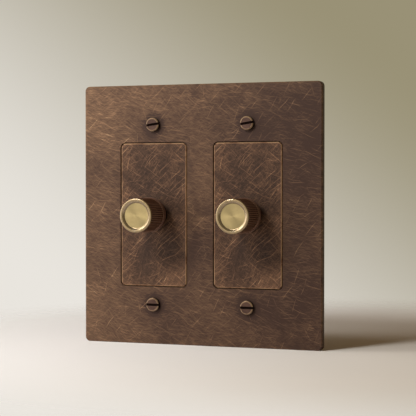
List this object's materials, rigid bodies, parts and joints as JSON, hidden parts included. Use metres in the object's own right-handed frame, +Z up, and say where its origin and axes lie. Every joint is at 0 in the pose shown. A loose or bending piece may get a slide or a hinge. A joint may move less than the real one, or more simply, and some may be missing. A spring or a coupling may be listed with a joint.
{
  "type": "rotary dimmer switch",
  "caption": "Wall-mounted rotary dimmer switch pair: bronze plate with flush inserts, slotted screws and knurled push-and-turn knobs with dished brass faces.",
  "frame": {"origin": "middle of the four plate screws, in the plane of the wall, which is the back of the wall plate", "axes": "+Y into the wall along the screws, +Z up along the plate's longer side, +X to the right seen from the front; the front faces -Y"},
  "size_m": [0.116, 0.0502, 0.12],
  "materials": {
    "plate_bronze": "smoked bronze, satin, finely scratched",
    "insert_bronze": "smoked bronze, satin, cross scratched",
    "screw_bronze": "dark bronze, satin",
    "knob_bronze": "dark bronze, satin, knurled",
    "cap_brass": "satin brass",
    "bushing_brass": "turned",
    "shaft_steel": "turned",
    "strap_steel": "zinc plated",
    "zinc_steel": "zinc plated",
    "spring_steel": "plain",
    "green_screw": "green passivated",
    "terminal_brass": "stamped",
    "contact_copper": "stamped",
    "winding_copper": "enamelled wire",
    "housing_plastic": "moulded",
    "white_plastic": "moulded",
    "package_black": "moulded",
    "board_green": "laminate",
    "phenolic": "laminate",
    "fibre_sheet": "fibre",
    "capacitor_case": "moulded",
    "ferrite": "sintered"
  },
  "bodies": {
    "base": {"wall_plate": "plate_bronze", "plate_screws": "screw_bronze", "housing_screws": "zinc_steel", "terminal_screws": "terminal_brass", "triac_screws": "zinc_steel", "earth_screws": "green_screw", "left_insert": "insert_bronze", "left_mounting_strap": "strap_steel", "left_insulating_sheet": "fibre_sheet", "left_rear_housing": "housing_plastic", "left_circuit_board": "board_green", "left_bushing": "bushing_brass", "left_lock_washer": "screw_bronze", "left_hex_nut": "screw_bronze", "left_control_case": "zinc_steel", "left_track_disc": "phenolic", "left_switch_case": "white_plastic", "left_switch_contacts": "contact_copper", "left_return_spring": "spring_steel", "left_triac": "package_black", "left_choke_core": "ferrite", "left_choke_winding": "winding_copper", "left_capacitor": "capacitor_case", "left_terminals": "terminal_brass", "right_insert": "insert_bronze", "right_mounting_strap": "strap_steel", "right_insulating_sheet": "fibre_sheet", "right_rear_housing": "housing_plastic", "right_circuit_board": "board_green", "right_bushing": "bushing_brass", "right_lock_washer": "screw_bronze", "right_hex_nut": "screw_bronze", "right_control_case": "zinc_steel", "right_track_disc": "phenolic", "right_switch_case": "white_plastic", "right_switch_contacts": "contact_copper", "right_return_spring": "spring_steel", "right_triac": "package_black", "right_choke_core": "ferrite", "right_choke_winding": "winding_copper", "right_capacitor": "capacitor_case", "right_terminals": "terminal_brass"},
    "left_rotor": {"left_rotor": "white_plastic", "left_wiper": "contact_copper"},
    "left_knob": {"left_shaft": "shaft_steel", "left_knob_body": "knob_bronze", "left_knob_cap": "cap_brass", "left_grub_screw": "spring_steel"},
    "left_plunger": {"left_switch_plunger": "white_plastic", "left_contact_bridge": "contact_copper"},
    "right_rotor": {"right_rotor": "white_plastic", "right_wiper": "contact_copper"},
    "right_knob": {"right_shaft": "shaft_steel", "right_knob_body": "knob_bronze", "right_knob_cap": "cap_brass", "right_grub_screw": "spring_steel"},
    "right_plunger": {"right_switch_plunger": "white_plastic", "right_contact_bridge": "contact_copper"}
  },
  "joints": [
    {"name": "left_turn", "type": "hinge", "parent": "base", "child": "left_rotor", "pos_m": [-0.02302, 0, 0], "axis": [0, 1, 0], "range_deg": [0, 270]},
    {"name": "left_push", "type": "slide", "parent": "left_rotor", "child": "left_knob", "axis": [0, 1, 0], "range_m": [0, 0.0012], "stiffness_N_per_m": 900, "springref_m": -0.002},
    {"name": "left_plunge", "type": "slide", "parent": "base", "child": "left_plunger", "axis": [0, 1, 0], "range_m": [0, 0.0012], "deforming": ["left_return_spring"]},
    {"name": "right_turn", "type": "hinge", "parent": "base", "child": "right_rotor", "pos_m": [0.02302, 0, 0], "axis": [0, 1, 0], "range_deg": [0, 270]},
    {"name": "right_push", "type": "slide", "parent": "right_rotor", "child": "right_knob", "axis": [0, 1, 0], "range_m": [0, 0.0012], "stiffness_N_per_m": 900, "springref_m": -0.002},
    {"name": "right_plunge", "type": "slide", "parent": "base", "child": "right_plunger", "axis": [0, 1, 0], "range_m": [0, 0.0012], "deforming": ["right_return_spring"]}
  ],
  "couplings": [
    {"joint": "left_plunge", "follows": "left_push", "ratio": 1},
    {"joint": "right_plunge", "follows": "right_push", "ratio": 1}
  ]
}
